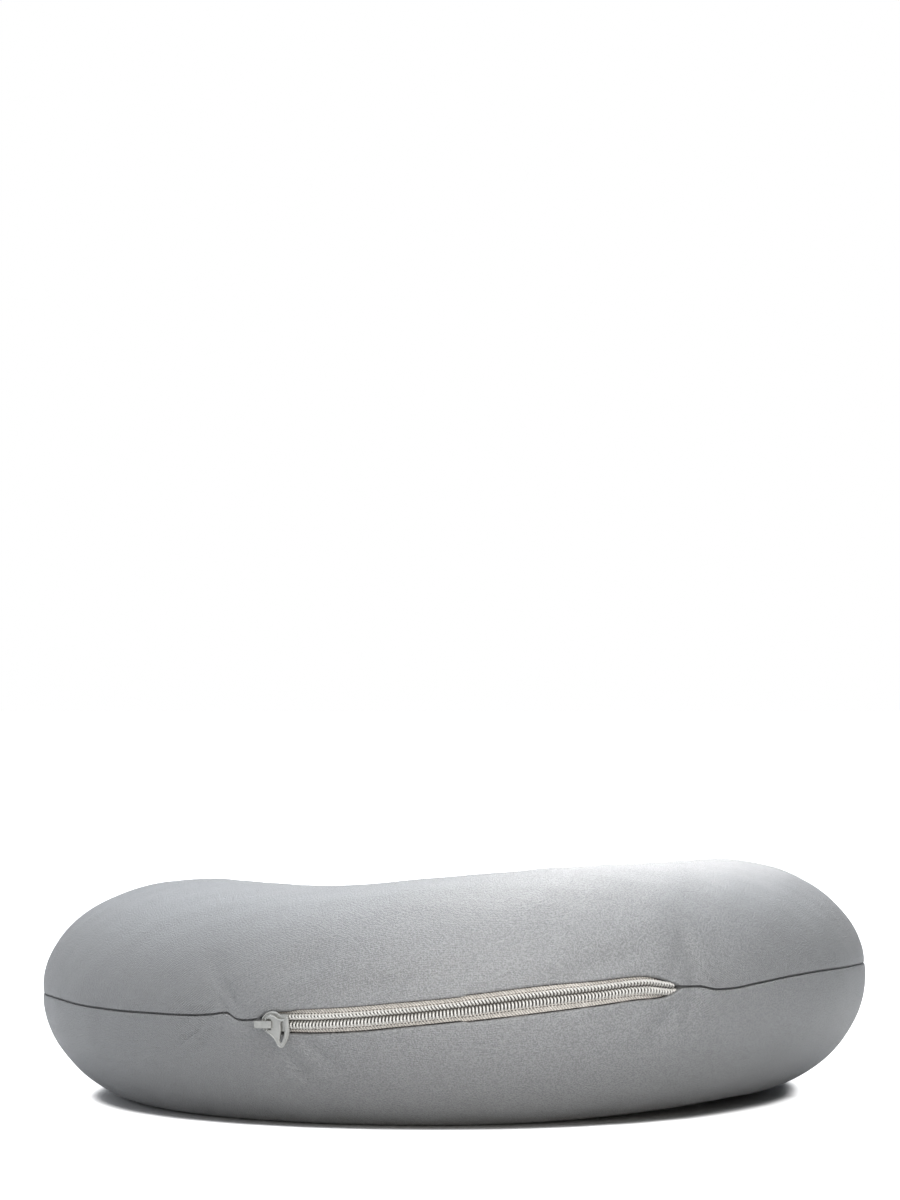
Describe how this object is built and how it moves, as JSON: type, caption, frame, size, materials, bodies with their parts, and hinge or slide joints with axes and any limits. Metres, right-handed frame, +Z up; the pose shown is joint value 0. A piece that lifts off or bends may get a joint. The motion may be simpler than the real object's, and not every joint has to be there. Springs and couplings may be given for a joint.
{
  "type": "travel neck pillow",
  "caption": "U-shaped travel neck pillow with a zipped, smooth stretch-knit cover, lying flat; supports the head while seated.",
  "frame": {"origin": "centre of the overall plan at the bottom, on the surface that the pillow lies on", "axes": "+Z up, +Y towards the neck opening, -Y towards the back with the zip, +X to the right of someone who faces the zip"},
  "size_m": [0.3, 0.292, 0.0875],
  "materials": {
    "cover_fabric": "smooth silver-grey stretch knit with a soft sheen",
    "zip_tape": "woven warm pale grey tape",
    "zip_coil": "pale satin nylon",
    "slider_metal": "satin silver-grey lacquer"
  },
  "bodies": {
    "root": {"pillow": "cover_fabric", "zip_tape_upper": "zip_tape", "zip_tape_lower": "zip_tape", "zip_coil_upper": "zip_coil", "zip_coil_lower": "zip_coil", "zip_slider": "slider_metal", "zip_pull": "slider_metal"}
  },
  "joints": []
}
